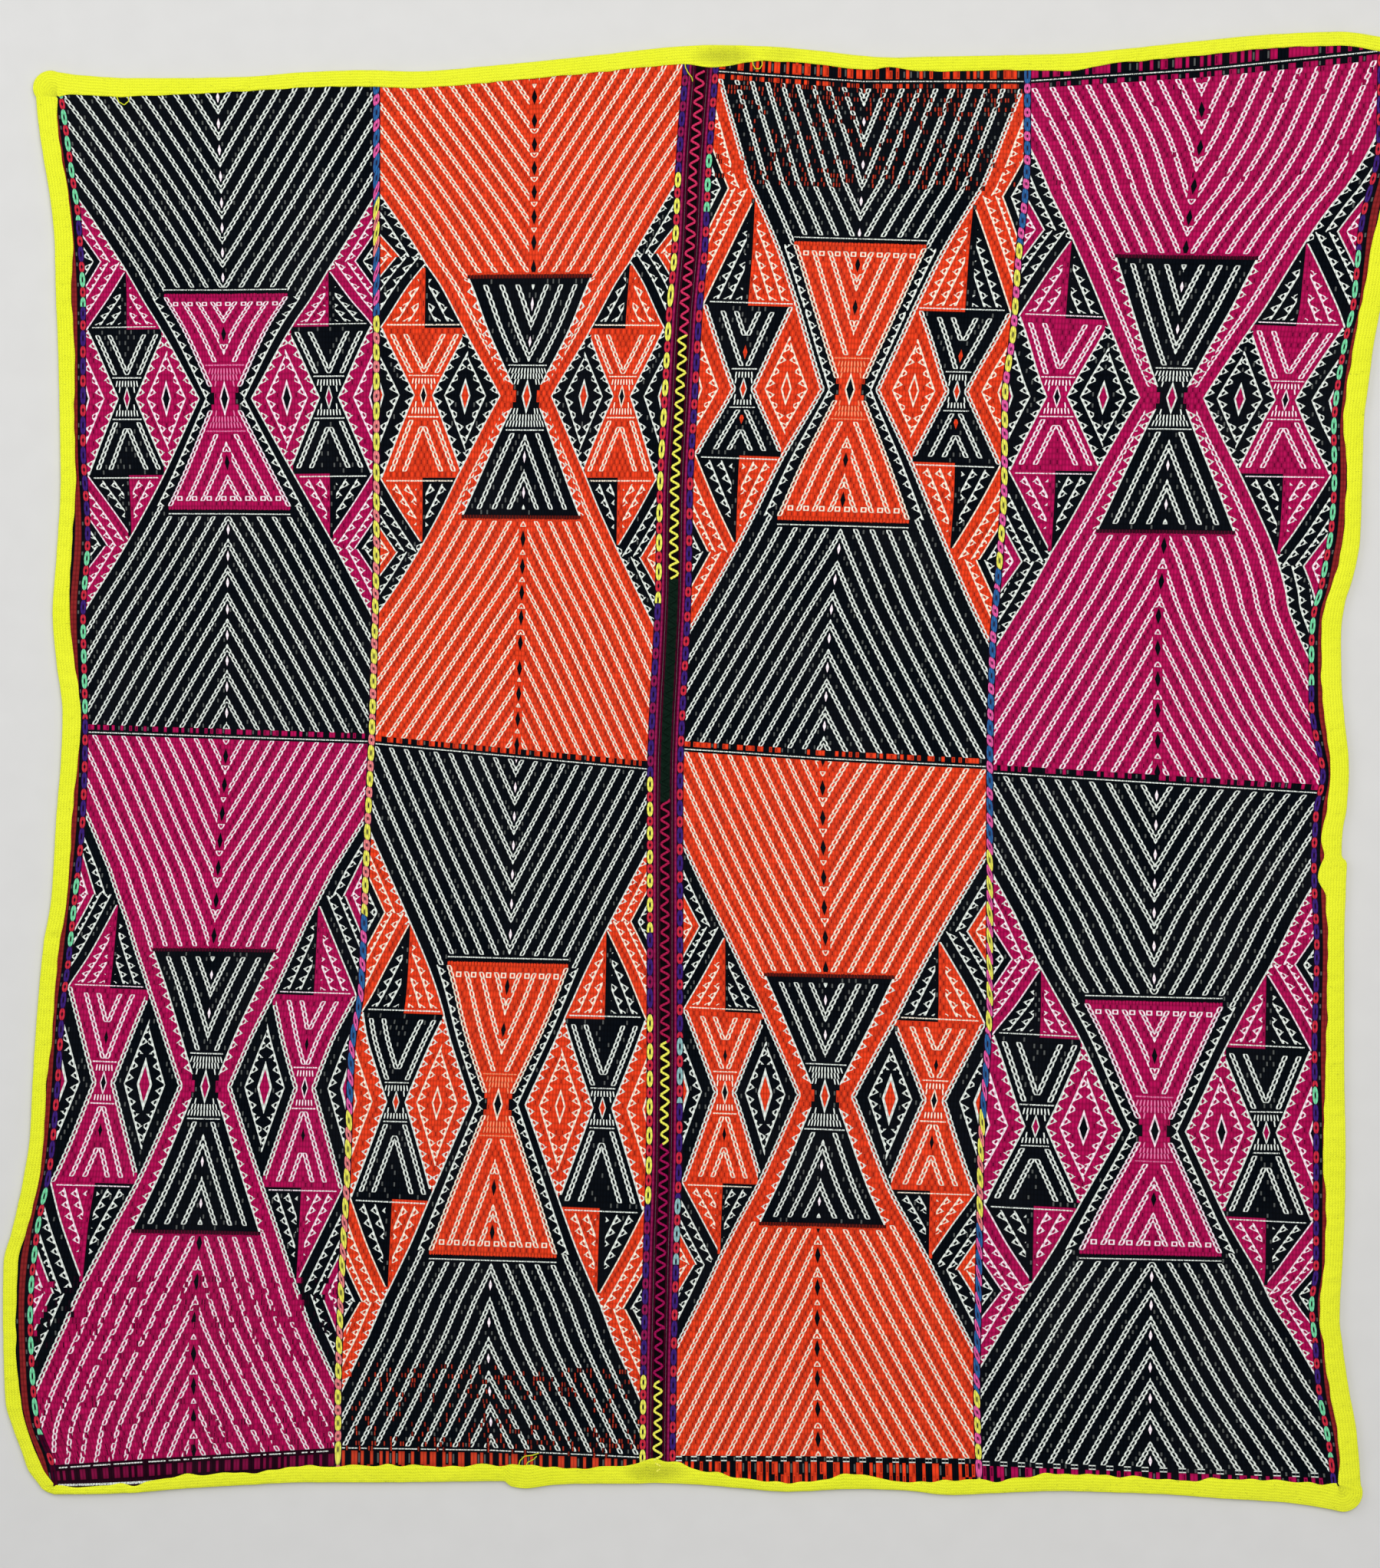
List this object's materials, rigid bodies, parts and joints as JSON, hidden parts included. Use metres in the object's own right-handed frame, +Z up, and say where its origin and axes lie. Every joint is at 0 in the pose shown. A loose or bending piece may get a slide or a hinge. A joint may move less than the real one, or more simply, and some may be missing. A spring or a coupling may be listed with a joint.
{
  "type": "aguayo carrying cloth",
  "caption": "Square warp-faced carrying cloth lying flat: woven panels joined by a stitched centre seam, edge bound with folded knit tape.",
  "frame": {"origin": "on the surface the cloth lies on, under the middle of its bounding box", "axes": "+X to the right along the weft, +Y along the warp to the far edge, +Z up out of the cloth's face"},
  "size_m": [1.0604, 1.117, 0.0045],
  "materials": {
    "woven_left": "matte warp-faced weave, blue-black, magenta and orange with off-white lines",
    "woven_right": "matte warp-faced weave, orange, magenta and blue-black with off-white lines",
    "seam_thread": "matte dark maroon thread with a zigzag of pink, yellow and magenta stitches",
    "knit_tape": "matte neon yellow knit tape"
  },
  "bodies": {
    "root": {"panel_left": "woven_left", "panel_right": "woven_right", "centre_seam": "seam_thread", "binding": "knit_tape"}
  },
  "joints": []
}
